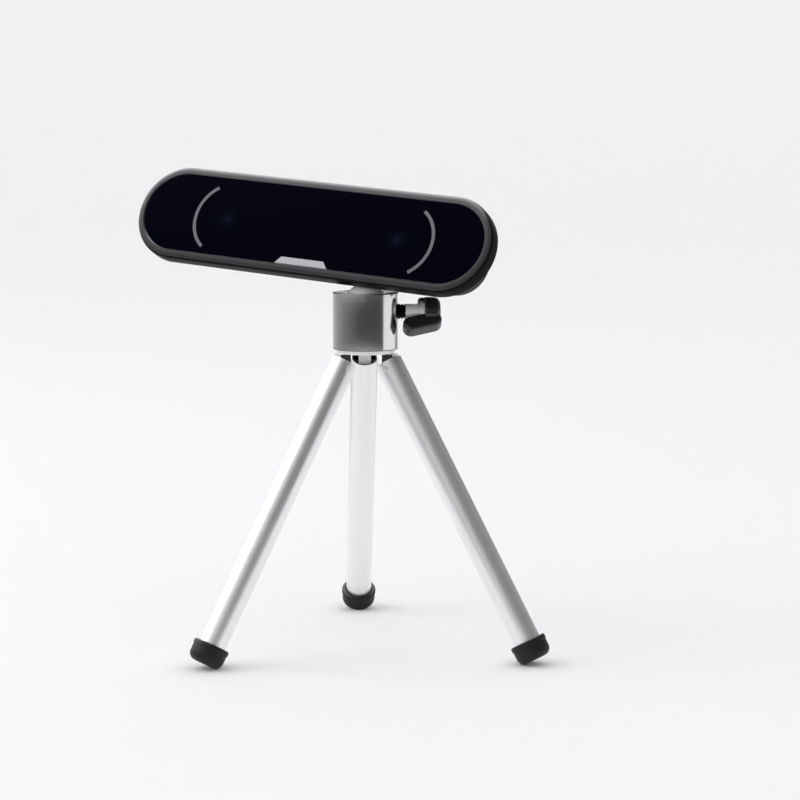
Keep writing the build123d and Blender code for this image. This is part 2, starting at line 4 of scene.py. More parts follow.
import bmesh
import bpy
from mathutils import Matrix, Vector

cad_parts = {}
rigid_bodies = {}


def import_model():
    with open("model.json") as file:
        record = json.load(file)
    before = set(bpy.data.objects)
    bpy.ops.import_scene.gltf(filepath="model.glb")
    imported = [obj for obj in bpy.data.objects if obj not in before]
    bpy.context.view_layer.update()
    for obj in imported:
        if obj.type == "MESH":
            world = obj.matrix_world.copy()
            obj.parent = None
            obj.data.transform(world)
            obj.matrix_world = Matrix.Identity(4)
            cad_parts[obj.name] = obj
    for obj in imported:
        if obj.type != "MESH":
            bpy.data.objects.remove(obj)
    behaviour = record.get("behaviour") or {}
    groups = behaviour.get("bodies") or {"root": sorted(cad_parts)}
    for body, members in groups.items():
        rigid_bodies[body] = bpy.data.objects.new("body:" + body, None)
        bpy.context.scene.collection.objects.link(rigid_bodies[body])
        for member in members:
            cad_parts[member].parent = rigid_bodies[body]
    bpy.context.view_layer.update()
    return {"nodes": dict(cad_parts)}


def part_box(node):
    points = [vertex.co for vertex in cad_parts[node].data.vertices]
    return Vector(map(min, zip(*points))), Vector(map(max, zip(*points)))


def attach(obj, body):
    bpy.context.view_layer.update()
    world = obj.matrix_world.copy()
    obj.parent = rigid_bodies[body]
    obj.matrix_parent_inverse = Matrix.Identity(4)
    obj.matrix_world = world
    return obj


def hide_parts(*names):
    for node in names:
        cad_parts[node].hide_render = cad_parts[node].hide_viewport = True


for leftover in list(bpy.data.objects):
    bpy.data.objects.remove(leftover)
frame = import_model()
nodes = frame["nodes"]


# LEG BASE
# A turned aluminium plate with three milled tongues on its underside, pressed up into the hub by a spigot.
# Each tongue carries the pin of one leg, and its flanks are painted near-black: painted shade where the
# tongue sits in the tube's mouth.
mm = 0.001
hub_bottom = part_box("hub")[0].z
base_thickness = 1.0 * mm
base_underside = hub_bottom - base_thickness
flank_count = 6.0
shade_gap = 0.005 * mm
# Near-black for painted shade: on the tongues' flanks and inside the tubes and joints.
shade_black = (0.030, 0.029, 0.028)
tripod_place = Matrix.Identity(4)


def feed(tree, value, socket):
    """Gives a socket the value of another socket, or a plain number, vector or colour."""
    if isinstance(value, bpy.types.NodeSocket):
        tree.links.new(value, socket)
    elif socket.type == "RGBA":
        socket.default_value = (*value, 1.0)
    else:
        socket.default_value = value


def reckon(tree, operation, first, second=0.0):
    """One step of arithmetic on a value."""
    step = tree.nodes.new("ShaderNodeMath")
    step.operation = operation
    feed(tree, first, step.inputs[0])
    feed(tree, second, step.inputs[1])
    return step.outputs["Value"]


def reckon_vector(tree, operation, first, second=(0.0, 0.0, 0.0), result="Vector"):
    """One step of arithmetic on a vector. The result can also be a plain value, such as a length."""
    step = tree.nodes.new("ShaderNodeVectorMath")
    step.operation = operation
    feed(tree, first, step.inputs[0])
    feed(tree, second, step.inputs[1])
    return step.outputs[result]


def apart(tree, vector):
    """The X, Y and Z of a vector."""
    parts = tree.nodes.new("ShaderNodeSeparateXYZ")
    tree.links.new(vector, parts.inputs["Vector"])
    return parts.outputs


def share(tree, value, start, end):
    """How far a value has come from start to end, as 0 to 1."""
    mapped = tree.nodes.new("ShaderNodeMapRange")
    mapped.inputs["From Min"].default_value = start
    mapped.inputs["From Max"].default_value = end
    tree.links.new(value, mapped.inputs["Value"])
    return mapped.outputs["Result"]


def spread(tree, value, low, high):
    """Maps a 0 to 1 value to a range."""
    mapped = tree.nodes.new("ShaderNodeMapRange")
    mapped.inputs["To Min"].default_value = low
    mapped.inputs["To Max"].default_value = high
    tree.links.new(value, mapped.inputs["Value"])
    return mapped.outputs["Result"]


def between(tree, value, first, second):
    """Mixes two colours by a 0 to 1 value."""
    mixed = tree.nodes.new("ShaderNodeMix")
    mixed.data_type = "RGBA"
    feed(tree, value, mixed.inputs["Factor"])
    feed(tree, first, mixed.inputs["A"])
    feed(tree, second, mixed.inputs["B"])
    return mixed.outputs["Result"]


def new_group(name, inputs, outputs):
    """An empty shader group with named sockets, and its two end nodes."""
    group = bpy.data.node_groups.new(name, "ShaderNodeTree")
    for label, kind in inputs:
        group.interface.new_socket(label, in_out="INPUT", socket_type=kind)
    for label, kind in outputs:
        group.interface.new_socket(label, in_out="OUTPUT", socket_type=kind)
    return group, group.nodes.new("NodeGroupInput"), group.nodes.new("NodeGroupOutput")


def make_tool_lines():
    """Fine parallel lines left by a lathe tool or a drawing die. Scale is lines per metre each way."""
    group, given, result = new_group(
        "tool_lines",
        [("Vector", "NodeSocketVector"), ("Scale", "NodeSocketVector")],
        [("Lines", "NodeSocketFloat")])
    lines = group.nodes.new("ShaderNodeTexNoise")
    lines.inputs["Scale"].default_value = 1.0
    lines.inputs["Detail"].default_value = 3.0
    lines.inputs["Roughness"].default_value = 0.65
    stretched = reckon_vector(group, "MULTIPLY", given.outputs["Vector"], given.outputs["Scale"])
    group.links.new(stretched, lines.inputs["Vector"])
    group.links.new(lines.outputs["Fac"], result.inputs["Lines"])
    return group


def make_handling():
    """Faint patches where fingers have touched. Size is patches per metre."""
    group, given, result = new_group(
        "handling",
        [("Vector", "NodeSocketVector"), ("Size", "NodeSocketFloat")],
        [("Smudge", "NodeSocketFloat")])
    patch_start = 0.42
    patch_full = 0.72
    patches = group.nodes.new("ShaderNodeTexNoise")
    patches.inputs["Detail"].default_value = 4.0
    patches.inputs["Distortion"].default_value = 0.8
    group.links.new(given.outputs["Vector"], patches.inputs["Vector"])
    group.links.new(given.outputs["Size"], patches.inputs["Scale"])
    smudge = share(group, patches.outputs["Fac"], patch_start, patch_full)
    group.links.new(smudge, result.inputs["Smudge"])
    return group


tool_lines = make_tool_lines()
handling = make_handling()


def start_finish(name, place):
    """A new material, with the coordinates of the piece's own place as its pattern coordinates."""
    material = bpy.data.materials.new(name)
    material.use_nodes = True
    tree = material.node_tree
    where = tree.nodes.new("ShaderNodeTexCoord")
    turned = tree.nodes.new("ShaderNodeMapping")
    turned.vector_type = "TEXTURE"
    turned.inputs["Location"].default_value = place.to_translation()
    turned.inputs["Rotation"].default_value = place.to_euler()
    tree.links.new(where.outputs["Object"], turned.inputs["Vector"])
    return material, tree, tree.nodes["Principled BSDF"], turned.outputs["Vector"]


def place_effect(tree, effect, vector, setting, value):
    """Puts a shared effect in a material, with its own value for the effect's setting."""
    placed = tree.nodes.new("ShaderNodeGroup")
    placed.node_tree = effect
    placed.inputs[setting].default_value = value
    tree.links.new(vector, placed.inputs["Vector"])
    return placed.outputs


def raise_surface(tree, shader, height, strength, depth):
    """Feeds a height to the shader's normal."""
    bump = tree.nodes.new("ShaderNodeBump")
    bump.inputs["Strength"].default_value = strength
    bump.inputs["Distance"].default_value = depth
    tree.links.new(height, bump.inputs["Height"])
    tree.links.new(bump.outputs["Normal"], shader.inputs["Normal"])


def metal_finish(name, place, dark, light, smooth, rough, lines_each_way, line_depth):
    """Bare machined metal: tool lines in its colour, gloss and relief, and a few finger marks."""
    marks_per_metre = 90.0
    mark_dulling = 0.05
    line_strength = 0.25
    material, tree, shader, vector = start_finish(name, place)
    lines = place_effect(tree, tool_lines, vector, "Scale", lines_each_way)["Lines"]
    smudge = place_effect(tree, handling, vector, "Size", marks_per_metre)["Smudge"]
    line_gloss = spread(tree, lines, smooth, rough)
    dulled = reckon(tree, "ADD", line_gloss, spread(tree, smudge, 0.0, mark_dulling))
    tree.links.new(dulled, shader.inputs["Roughness"])
    tree.links.new(between(tree, lines, dark, light), shader.inputs["Base Color"])
    shader.inputs["Metallic"].default_value = 1.0
    raise_surface(tree, shader, lines, line_strength, line_depth)
    return material


def tune(material, setting, value):
    """Sets one plain value of a finish."""
    material.node_tree.nodes["Principled BSDF"].inputs[setting].default_value = value


def dress(node, material):
    """Gives a CAD piece its finish."""
    nodes[node].data.materials.clear()
    nodes[node].data.materials.append(material)


turned_aluminium = metal_finish(
    "turned_aluminium", tripod_place, dark=(0.86, 0.86, 0.87), light=(0.95, 0.95, 0.96),
    smooth=0.26, rough=0.36, lines_each_way=(60.0, 60.0, 5000.0), line_depth=0.01 * mm)
tune(turned_aluminium, "Metallic", 0.2)
base_tree = turned_aluminium.node_tree
base_colour = base_tree.nodes["Principled BSDF"].inputs["Base Color"]
base_where = base_tree.nodes["Texture Coordinate"].outputs
base_height = apart(base_tree, base_where["Object"])["Z"]
base_facing = apart(base_tree, base_where["Normal"])
# The tongues' flanks face every 60 degrees round, with their ends halfway between. Only the flanks get the
# painted shade; the plate keeps its metal colour.
facing_angle = reckon(base_tree, "ARCTAN2", base_facing["Y"], base_facing["X"])
facing_wave = reckon(base_tree, "COSINE", reckon(base_tree, "MULTIPLY", facing_angle, flank_count))
is_flank = reckon(base_tree, "GREATER_THAN", facing_wave, 0.0)
is_tongue = reckon(base_tree, "LESS_THAN", base_height, base_underside - shade_gap)
painted_shade_mask = reckon(base_tree, "MULTIPLY", is_flank, is_tongue)
unshaded_metal = base_colour.links[0].from_socket
base_tree.links.new(between(base_tree, painted_shade_mask, unshaded_metal, shade_black), base_colour)
dress("leg_base", turned_aluminium)


# LEGS
# Three drawn aluminium tubes with half-millimetre walls, cut square and brushed satin along their length.
# The mouth of each goes over its tongue, its edge just broken by the brush. Bores and cut ends are painted
# near-black: painted shade inside and at the mouth of each tube.
leg_headings = {"rear": 90.0, "right": -30.0, "left": 210.0}
leg_spread = 29.6
pivot_radius = 7.4 * mm
pivot_drop = 3.5 * mm
leg_outer = 3.5 * mm
leg_inner = 3.0 * mm
leg_mouth = 1.7 * mm
leg_end = -81.0 * mm
leg_edge = 0.12 * mm
weld_reach = 0.001 * mm
sharp_angle = 32.0


def turn(profile, rounds, steps):
    """A turned shape from (radius, height) points. rounds gives some of the corners a radius."""
    shape = bmesh.new()
    points = [shape.verts.new((radius, 0.0, height)) for radius, height in profile]
    for first, second in zip(points, points[1:] + points[:1]):
        shape.edges.new((first, second))
    for corner, radius in rounds.items():
        bmesh.ops.bevel(shape, geom=[points[corner]], offset=radius, offset_type="OFFSET",
                        affect="VERTICES", segments=6, profile=0.5, material=-1)
    start = Matrix.Rotation(math.pi / steps, 4, "Z")
    bmesh.ops.transform(shape, matrix=start, verts=shape.verts[:])
    bmesh.ops.spin(shape, geom=shape.verts[:] + shape.edges[:], cent=(0.0, 0.0, 0.0),
                   axis=(0.0, 0.0, 1.0), angle=2.0 * math.pi, steps=steps, use_merge=True)
    bmesh.ops.remove_doubles(shape, verts=shape.verts[:], dist=weld_reach)
    bmesh.ops.recalc_face_normals(shape, faces=shape.faces[:])
    return shape


def second_finish(shape, chosen):
    """Gives the second finish to the faces that are chosen by the radius and height of their middle."""
    for face in shape.faces:
        middle = face.calc_center_median()
        face.material_index = int(chosen(math.hypot(middle.x, middle.y), middle.z))


def make_object(name, shape):
    """An object in the scene from a finished shape."""
    mesh = bpy.data.meshes.new(name)
    shape.to_mesh(mesh)
    shape.free()
    made = bpy.data.objects.new(name, mesh)
    bpy.context.scene.collection.objects.link(made)
    return made


def settle(name, shape, place, finishes, body, *stands_for):
    """Puts a finished shape in its place on the object, as one piece on one body."""
    bmesh.ops.transform(shape, matrix=place, verts=shape.verts[:])
    piece = make_object(name, shape)
    piece.data.shade_smooth()
    piece.data.set_sharp_from_angle(angle=math.radians(sharp_angle))
    for finish in finishes:
        piece.data.materials.append(finish)
    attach(piece, body)
    if stands_for:
        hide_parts(*stands_for)
    return piece


def leg_place(heading):
    """The leg's own place: the pin at its origin and the foot below."""
    return (Matrix.Rotation(math.radians(heading), 4, "Z")
            @ Matrix.Translation((pivot_radius, 0.0, base_underside - pivot_drop))
            @ Matrix.Rotation(math.radians(-leg_spread), 4, "Y"))


# Near-black metal for painted shade: the tube bores and cut ends, and the pins between the walls.
painted_shade_metal = metal_finish(
    "painted_shade_metal", tripod_place, dark=shade_black, light=(0.060, 0.058, 0.056),
    smooth=0.45, rough=0.60, lines_each_way=(900.0, 900.0, 900.0), line_depth=0.01 * mm)
tube_profile = [(leg_inner, leg_end), (leg_outer, leg_end), (leg_outer, leg_mouth), (leg_inner, leg_mouth)]
for leg, heading in leg_headings.items():
    satin_tube = metal_finish(
        "satin_tube_" + leg, leg_place(heading), dark=(0.88, 0.88, 0.885), light=(0.97, 0.97, 0.975),
        smooth=0.30, rough=0.40, lines_each_way=(2600.0, 2600.0, 25.0), line_depth=0.006 * mm)
    satin_tube["slot"] = "polished_aluminium"
    tube = turn(tube_profile, {2: leg_edge, 3: leg_edge}, steps=96)
    second_finish(tube, lambda radius, height: radius < leg_outer - leg_edge)
    settle("leg_" + leg, tube, leg_place(heading), [satin_tube, painted_shade_metal],
           "leg_" + leg, "leg_tube_" + leg)


# LEG PINS
# An aluminium pin through each tube and tongue, pressed in and brushed off level with the tube.
# Between the walls it is painted near-black, as painted shade inside the joint.
pin_radius = 0.8 * mm
pin_edge = 0.04 * mm

pin_aluminium = metal_finish(
    "pin_aluminium", tripod_place, dark=(0.88, 0.88, 0.885), light=(0.96, 0.96, 0.965),
    smooth=0.30, rough=0.40, lines_each_way=(900.0, 900.0, 900.0), line_depth=0.004 * mm)
pin_aluminium["slot"] = "turned_steel"
pin_profile = [(0.0, -leg_outer), (pin_radius, -leg_outer), (pin_radius, leg_outer), (0.0, leg_outer)]
for leg, heading in leg_headings.items():
    pin = turn(pin_profile, {1: pin_edge, 2: pin_edge}, steps=40)
    second_finish(pin, lambda radius, height: abs(height) < leg_outer - pin_edge)
    across = leg_place(heading) @ Matrix.Rotation(math.radians(90.0), 4, "X")
    settle("leg_pin_" + leg, pin, across, [pin_aluminium, painted_shade_metal],
           "leg_" + leg, "pivot_pin_" + leg)


# FEET
# Moulded black rubber caps pushed over the tube ends, with a lip round the mouth and a soft bottom edge.
# Each is worn flat where it stands.
foot_radius = 4.7 * mm
foot_bore = 3.55 * mm
foot_bottom = -83.3 * mm
foot_top = -78.1 * mm
foot_round = 2.0 * mm
foot_rim = 0.45 * mm
lip_height = 1.2 * mm
lip_step = 0.18 * mm


def make_fine_grain():
    """Fine bumps and slow changes of tone, as on moulded and blasted surfaces. Size is grains per metre."""
    group, given, result = new_group(
        "fine_grain",
        [("Vector", "NodeSocketVector"), ("Size", "NodeSocketFloat")],
        [("Height", "NodeSocketFloat"), ("Tone", "NodeSocketFloat")])
    tones_to_grains = 0.03
    grains = group.nodes.new("ShaderNodeTexNoise")
    grains.inputs["Detail"].default_value = 2.0
    tones = group.nodes.new("ShaderNodeTexNoise")
    tones.inputs["Detail"].default_value = 5.0
    tones.inputs["Roughness"].default_value = 0.6
    slower = reckon(group, "MULTIPLY", given.outputs["Size"], tones_to_grains)
    group.links.new(given.outputs["Vector"], grains.inputs["Vector"])
    group.links.new(given.outputs["Vector"], tones.inputs["Vector"])
    group.links.new(given.outputs["Size"], grains.inputs["Scale"])
    group.links.new(slower, tones.inputs["Scale"])
    group.links.new(grains.outputs["Fac"], result.inputs["Height"])
    group.links.new(tones.outputs["Fac"], result.inputs["Tone"])
    return group


fine_grain = make_fine_grain()


def grained_finish(name, place, dark, light, smooth, rough, grains_per_metre, grain_depth):
    """A moulded, blasted or painted surface: even grain, with slow changes of tone and gloss."""
    grain_strength = 0.4
    material, tree, shader, vector = start_finish(name, place)
    grain = place_effect(tree, fine_grain, vector, "Size", grains_per_metre)
    tree.links.new(between(tree, grain["Tone"], dark, light), shader.inputs["Base Color"])
    tree.links.new(spread(tree, grain["Tone"], smooth, rough), shader.inputs["Roughness"])
    raise_surface(tree, shader, grain["Height"], grain_strength, grain_depth)
    return material


foot_rubber = grained_finish(
    "foot_rubber", tripod_place, dark=(0.004, 0.004, 0.005), light=(0.012, 0.012, 0.013),
    smooth=0.40, rough=0.58, grains_per_metre=4500.0, grain_depth=0.03 * mm)
foot_rubber["slot"] = "foot_rubber"
tune(foot_rubber, "Specular IOR Level", 0.3)
cap_profile = [(0.0, foot_bottom), (foot_radius - lip_step, foot_bottom),
               (foot_radius - lip_step, foot_top - lip_height - lip_step),
               (foot_radius, foot_top - lip_height), (foot_radius, foot_top), (foot_bore, foot_top),
               (foot_bore, leg_end), (0.0, leg_end)]
for leg, heading in leg_headings.items():
    cap = turn(cap_profile, {1: foot_round, 4: foot_rim, 5: foot_rim}, steps=72)
    bmesh.ops.transform(cap, matrix=leg_place(heading), verts=cap.verts[:])
    cut = bmesh.ops.bisect_plane(cap, geom=cap.verts[:] + cap.edges[:] + cap.faces[:],
                                 plane_co=(0.0, 0.0, 0.0), plane_no=(0.0, 0.0, 1.0), clear_inner=True)
    rim = [item for item in cut["geom_cut"] if isinstance(item, bmesh.types.BMEdge)]
    bmesh.ops.edgeloop_fill(cap, edges=rim)
    bmesh.ops.recalc_face_normals(cap, faces=cap.faces[:])
    settle("foot_" + leg, cap, tripod_place, [foot_rubber], "leg_" + leg, "foot_cap_" + leg)


# HUB
# The ball head's body, turned from aluminium bar and polished. Its rims are broken round and made dark grey
# and dull: painted shade that hides their highlights.
# The ball sits in its bore, and the clamp screw goes in through its right side.
hub_radius = 8.5 * mm
hub_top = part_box("hub")[1].z
hub_edge = 0.25 * mm
ball_height = hub_bottom + 11.5 * mm
mouth_radius = 4.8 * mm
mouth_edge = 0.2 * mm
socket_radius = 5.6 * mm
socket_steps = 8
clamp_height = hub_bottom + 9.6 * mm
clamp_bore = 2.05 * mm

hub_profile = [(socket_radius, hub_bottom), (hub_radius, hub_bottom), (hub_radius, hub_top),
               (mouth_radius, hub_top)]
mouth_angle = math.acos(mouth_radius / socket_radius)
for step in range(socket_steps + 1):
    angle = mouth_angle * (1.0 - step / socket_steps)
    hub_profile.append((socket_radius * math.cos(angle), ball_height + socket_radius * math.sin(angle)))
polished_hub = metal_finish(
    "polished_hub", tripod_place, dark=(0.70, 0.70, 0.715), light=(0.82, 0.82, 0.835),
    smooth=0.09, rough=0.17, lines_each_way=(40.0, 40.0, 6000.0), line_depth=0.006 * mm)
polished_hub["slot"] = "satin_metal"
# Dark grey on the rounded rims: painted shade over the bright line the rims would reflect.
hub_rim_shade = metal_finish(
    "hub_rim_shade", tripod_place, dark=(0.16, 0.16, 0.165), light=(0.22, 0.22, 0.225),
    smooth=0.42, rough=0.52, lines_each_way=(40.0, 40.0, 6000.0), line_depth=0.006 * mm)
hub_shape = turn(hub_profile, {1: hub_edge, 2: hub_edge, 3: mouth_edge}, steps=128)
second_finish(hub_shape, lambda radius, height: radius > hub_radius - hub_edge
              and min(hub_top - height, height - hub_bottom) < hub_edge)
hub = settle("hub_body", hub_shape, tripod_place, [polished_hub, hub_rim_shade], "tripod", "hub")
drill_shape = bmesh.new()
bmesh.ops.create_cone(drill_shape, cap_ends=True, segments=48, radius1=clamp_bore, radius2=clamp_bore,
                      depth=hub_radius,
                      matrix=Matrix.Translation((hub_radius, 0.0, clamp_height))
                      @ Matrix.Rotation(math.radians(90.0), 4, "Y"))
drill = make_object("drill", drill_shape)
bored = hub.modifiers.new("bored", "BOOLEAN")
bored.operation = "DIFFERENCE"
bored.object = drill
bpy.context.view_layer.update()
drilled = bpy.data.meshes.new_from_object(hub.evaluated_get(bpy.context.evaluated_depsgraph_get()))
hub.modifiers.clear()
hub.data = drilled
drilled.set_sharp_from_angle(angle=math.radians(sharp_angle))
bpy.data.objects.remove(drill)


# BALL SEAT
# A moulded acetal cup that the ball turns in, dropped into the hub's bore from below.
# The brake shoe is a plug of the same plastic, between the clamp screw's end and the ball.
natural_acetal = grained_finish(
    "natural_acetal", tripod_place, dark=(0.70, 0.69, 0.65), light=(0.80, 0.79, 0.75),
    smooth=0.38, rough=0.50, grains_per_metre=3000.0, grain_depth=0.01 * mm)
dress("ball_seat", natural_acetal)
dress("brake_shoe", natural_acetal)


# BALL STUD
# Ball, neck, flange and tripod thread turned from one steel bar and plated with matt nickel.
# The webcam is screwed down on the flange.
stud_heading = 48.6
stud_lean = 26.0
stud_place = (Matrix.Translation((0.0, 0.0, ball_height))
              @ Matrix.Rotation(math.radians(stud_heading), 4, "Z")
              @ Matrix.Rotation(math.radians(stud_lean), 4, "Y"))
nickel_stud = metal_finish(
    "nickel_stud", stud_place, dark=(0.90, 0.89, 0.88), light=(0.97, 0.96, 0.95),
    smooth=0.30, rough=0.40, lines_each_way=(40.0, 40.0, 4000.0), line_depth=0.004 * mm)
tune(nickel_stud, "Metallic", 0.1)
dress("ball_stud", nickel_stud)


# CLAMP SCREW
# A thumb screw in bright nickel: the end in the hub is threaded and near-black up to a little way outside
# the hub, and the rest of the shank is plain.
# A collar stops the knob that is pressed on its tang.
screw_radius = 2.0 * mm
screw_start = 7.0 * mm
thread_end = 9.9 * mm
thread_pitch = 0.7 * mm
thread_root = 1.68 * mm
crest_start = 0.40 * thread_pitch
crest_end = 0.60 * thread_pitch
dark_end = thread_end + 0.4 * thread_pitch
plain_start = thread_end + 0.5 * thread_pitch
collar_start = 14.3 * mm
collar_end = 15.3 * mm
collar_radius = 2.6 * mm
collar_edge = 0.2 * mm
tang_radius = 1.5 * mm
tang_end = 18.1 * mm
clamp_place = Matrix.Translation((0.0, 0.0, clamp_height)) @ Matrix.Rotation(math.radians(90.0), 4, "Y")

screw_profile = [(0.0, screw_start), (thread_root, screw_start)]
for ridge in range(int((thread_end - screw_start) / thread_pitch)):
    ridge_start = screw_start + ridge * thread_pitch
    screw_profile.append((screw_radius, ridge_start + crest_start))
    screw_profile.append((screw_radius, ridge_start + crest_end))
    screw_profile.append((thread_root, ridge_start + thread_pitch))
shoulder = len(screw_profile)
screw_profile += [(screw_radius, plain_start), (screw_radius, collar_start), (collar_radius, collar_start),
                  (collar_radius, collar_end), (tang_radius, collar_end), (tang_radius, tang_end),
                  (0.0, tang_end)]
nickel_screw = metal_finish(
    "nickel_screw", clamp_place, dark=(0.92, 0.92, 0.92), light=(0.98, 0.98, 0.98),
    smooth=0.10, rough=0.16, lines_each_way=(40.0, 40.0, 3500.0), line_depth=0.004 * mm)
nickel_screw["slot"] = "turned_steel"
tune(nickel_screw, "Metallic", 0.35)
# Near-black on the threaded end, where the screw goes into the hub.
dark_thread_end = metal_finish(
    "dark_thread_end", clamp_place, dark=(0.020, 0.020, 0.019), light=(0.045, 0.044, 0.042),
    smooth=0.22, rough=0.34, lines_each_way=(900.0, 900.0, 900.0), line_depth=0.01 * mm)
screw = turn(screw_profile, {shoulder + 2: collar_edge, shoulder + 3: collar_edge}, steps=64)
second_finish(screw, lambda radius, height: height < dark_end)
settle("thumb_screw_shank", screw, clamp_place, [nickel_screw, dark_thread_end], "thumb_screw", "clamp_screw")


# WING KNOB
# A black plastic knob with one long wing swept back beside the screw and a short heel opposite.
# The mould leaves every corner soft, with a fine satin skin.
knob_voxel = 0.13 * mm
knob_softening = 0.5
knob_passes = 10
knob_plastic = grained_finish(
    "knob_plastic", tripod_place, dark=(0.008, 0.009, 0.009), light=(0.016, 0.018, 0.018),
    smooth=0.18, rough=0.28, grains_per_metre=3500.0, grain_depth=0.01 * mm)
tune(knob_plastic, "Specular IOR Level", 0.8)
dress("wing_knob", knob_plastic)
moulded = nodes["wing_knob"].modifiers.new("moulded", "REMESH")
moulded.mode = "VOXEL"
moulded.voxel_size = knob_voxel
moulded.use_smooth_shade = True
softened = nodes["wing_knob"].modifiers.new("softened", "SMOOTH")
softened.factor = knob_softening
softened.iterations = knob_passes


# WEBCAM HOUSING
# A die-cast aluminium tray with a shallow front rim and a smaller body, bead blasted and anodised black.
# The bezel plugs into the rim and the rear cover into the body, with a fine broken edge at each joint.
# The rim's flank is a darker copy of the black, painted shade, and its specular level rises towards the
# top: a painted sheen of the light from above.
webcam_turn = -79.6
webcam_shift = (-17.4 * mm, -1.1 * mm, 15.6 * mm)
webcam_place = (stud_place @ Matrix.Rotation(math.radians(webcam_turn), 4, "Z")
                @ Matrix.Translation(webcam_shift))
facing = webcam_place @ Matrix.Rotation(math.radians(-90.0), 4, "X")
rim_centre = 39.85 * mm
rim_radius = 13.15 * mm
rim_front = -6.8 * mm
rim_back = -4.2 * mm
rim_floor = -5.4 * mm
rim_round = 0.9 * mm
body_centre = 37.55 * mm
body_radius = 7.95 * mm
body_back = 7.4 * mm
body_foot = 0.7 * mm
housing_wall = 1.5 * mm
housing_edge = 0.15 * mm
sheen_start = 5.0 * mm
sheen_bottom = 0.03
sheen_top = 0.40


def stretch(shape, inner, outer, split):
    """Draws a turned shape out sideways into a stadium, by one reach inside the split and one outside."""
    places = [(vert, math.hypot(vert.co.x, vert.co.y), vert.co.x) for vert in shape.verts]
    for vert, radius, x in places:
        reach = inner if radius < split else outer
        vert.co.x += math.copysign(reach, x)
    return shape


def even_shading(piece):
    """Keeps the long flat sides flat where they meet the round ends."""
    weighted = piece.modifiers.new("even_shading", "WEIGHTED_NORMAL")
    weighted.keep_sharp = True


black_anodised = grained_finish(
    "black_anodised", webcam_place, dark=(0.009, 0.009, 0.010), light=(0.016, 0.016, 0.018),
    smooth=0.42, rough=0.52, grains_per_metre=7000.0, grain_depth=0.014 * mm)
black_anodised["slot"] = "black_anodised"
# The flank: darker than the face as painted shade, with a specular level that rises with height as a
# painted sheen.
flank_shade_and_sheen = grained_finish(
    "flank_shade_and_sheen", webcam_place, dark=(0.004, 0.004, 0.005), light=(0.008, 0.008, 0.009),
    smooth=0.26, rough=0.34, grains_per_metre=6000.0, grain_depth=0.01 * mm)
flank_tree = flank_shade_and_sheen.node_tree
flank_height = apart(flank_tree, flank_tree.nodes["Mapping"].outputs["Vector"])["Z"]
sheen_share = share(flank_tree, flank_height, sheen_start, rim_radius)
flank_tree.links.new(spread(flank_tree, sheen_share, sheen_bottom, sheen_top),
                     flank_tree.nodes["Principled BSDF"].inputs["Specular IOR Level"])
tray_profile = [(rim_radius, rim_front), (rim_radius, rim_back), (body_radius, rim_back),
                (body_radius, body_back), (body_radius - housing_wall, body_back),
                (body_radius - housing_wall, rim_floor), (rim_radius - housing_wall, rim_floor),
                (rim_radius - housing_wall, rim_front)]
tray = turn(tray_profile, {0: housing_edge, 1: rim_round, 2: body_foot, 3: housing_edge}, steps=96)
second_finish(tray, lambda radius, height: radius > rim_radius - rim_round)
tray = stretch(tray, body_centre, rim_centre, (body_radius + rim_radius) / 2.0)
even_shading(settle("housing", tray, facing, [black_anodised, flank_shade_and_sheen], "webcam", "housing_shell"))


# TRIPOD THREAD
# A brass insert with a quarter-inch thread, pressed into the housing's floor off its middle.
# The ball stud screws into it and fills it.
insert_brass = metal_finish(
    "insert_brass", webcam_place, dark=(0.55, 0.40, 0.17), light=(0.70, 0.53, 0.25),
    smooth=0.20, rough=0.32, lines_each_way=(900.0, 900.0, 3000.0), line_depth=0.01 * mm)
dress("tripod_thread_insert", insert_brass)


# LENS MODULES
# Two small camera modules on a sheet aluminium bracket: a matt black barrel with a coated lens,
# on a black holder with the sensor in it, and a ribbon back to the board.
coating_patches = 260.0
coating_blue = (0.02, 0.03, 0.09)
coating_violet = (0.05, 0.03, 0.10)
lens_black = grained_finish(
    "lens_black", webcam_place, dark=(0.008, 0.008, 0.009), light=(0.016, 0.016, 0.017),
    smooth=0.45, rough=0.60, grains_per_metre=5000.0, grain_depth=0.01 * mm)
sheet_aluminium = metal_finish(
    "sheet_aluminium", webcam_place, dark=(0.50, 0.50, 0.51), light=(0.66, 0.66, 0.67),
    smooth=0.28, rough=0.42, lines_each_way=(30.0, 2500.0, 2500.0), line_depth=0.01 * mm)
ribbon_film = grained_finish(
    "ribbon_film", webcam_place, dark=(0.30, 0.13, 0.02), light=(0.46, 0.22, 0.05),
    smooth=0.30, rough=0.42, grains_per_metre=2500.0, grain_depth=0.006 * mm)
coated_lens, lens_tree, lens_shader, lens_vector = start_finish("coated_lens", webcam_place)
coating = place_effect(lens_tree, handling, lens_vector, "Size", coating_patches)["Smudge"]
lens_tree.links.new(between(lens_tree, coating, coating_blue, coating_violet),
                    lens_shader.inputs["Base Color"])
lens_tree.links.new(spread(lens_tree, coating, low=0.02, high=0.06), lens_shader.inputs["Roughness"])
tune(coated_lens, "Coat Weight", 0.6)
for side in ("left", "right"):
    dress("lens_barrel_" + side, lens_black)
    dress("sensor_holder_" + side, lens_black)
    dress("lens_glass_" + side, coated_lens)
    dress("flex_cable_" + side, ribbon_film)
dress("module_bracket", sheet_aluminium)


